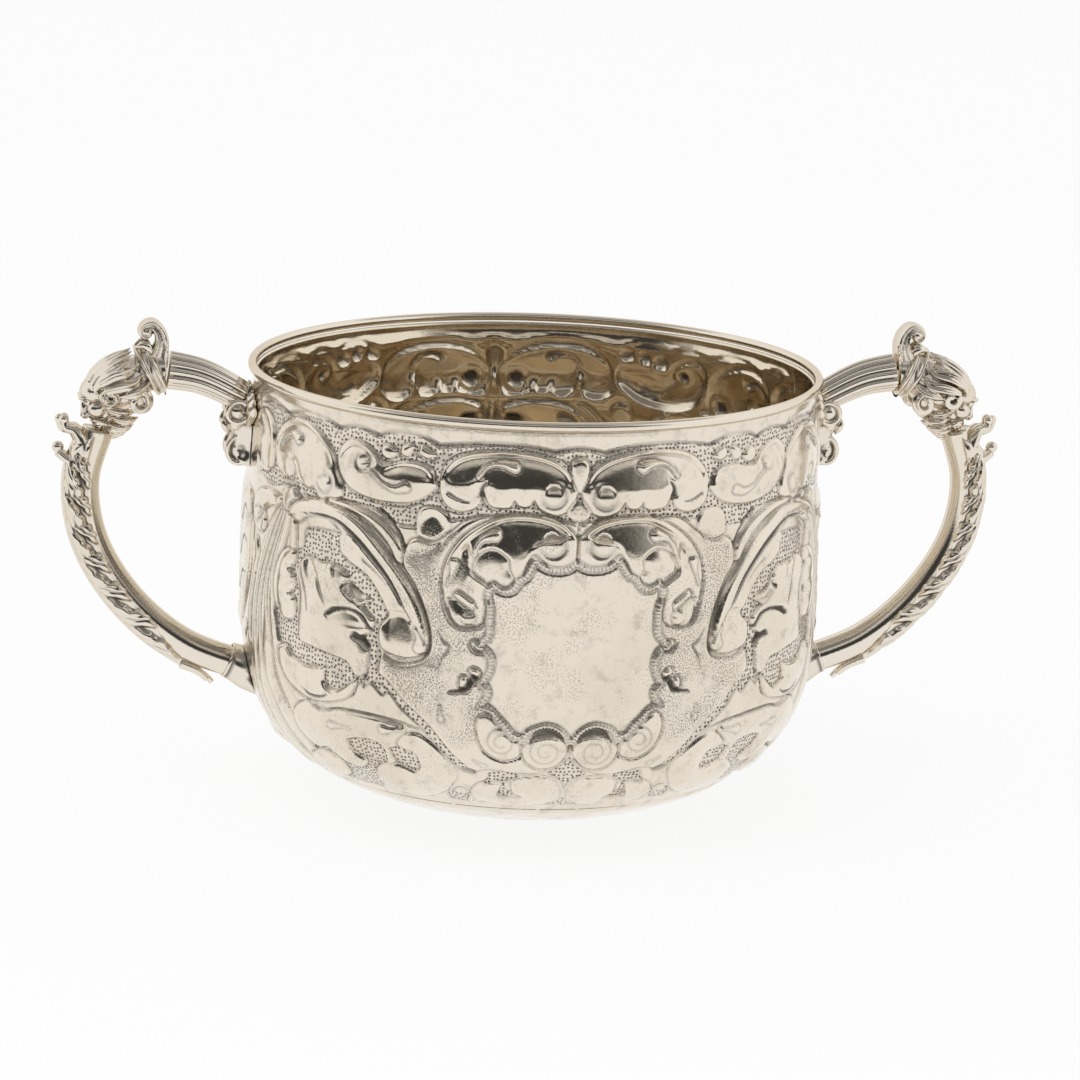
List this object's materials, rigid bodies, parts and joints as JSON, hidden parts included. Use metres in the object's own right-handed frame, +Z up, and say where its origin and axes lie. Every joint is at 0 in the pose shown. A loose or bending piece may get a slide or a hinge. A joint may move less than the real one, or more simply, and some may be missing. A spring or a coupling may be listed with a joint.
{
  "type": "silver two-handled bowl",
  "caption": "Embossed silver bowl with a plain rim, a bare oval cartouche framed by scrolling leaves on each face, and cast handles with reeded arms, bearded masks and leaf-clad rods.",
  "frame": {"origin": "centre of the flat base disc, on the surface that the bowl stands on", "axes": "+X through the right handle, -Y out through the front cartouche, +Z up through the mouth"},
  "size_m": [0.1912, 0.1154, 0.0964],
  "materials": {
    "bowl_silver": "polished silver with dark oxidised recesses, tarnished inside",
    "wire_silver": "polished silver",
    "cast_silver": "polished cast silver with dark oxidised recesses"
  },
  "bodies": {
    "root": {"bowl_body": "bowl_silver", "rim_wire": "wire_silver", "right_root_scroll": "cast_silver", "right_reeded_arm": "cast_silver", "right_mask_head": "cast_silver", "right_crest_scroll": "cast_silver", "right_chin_scroll": "cast_silver", "right_handle_stem": "cast_silver", "right_acanthus_leaf": "cast_silver", "right_lower_ferrule": "cast_silver", "left_root_scroll": "cast_silver", "left_reeded_arm": "cast_silver", "left_mask_head": "cast_silver", "left_crest_scroll": "cast_silver", "left_chin_scroll": "cast_silver", "left_handle_stem": "cast_silver", "left_acanthus_leaf": "cast_silver", "left_lower_ferrule": "cast_silver"}
  },
  "joints": []
}
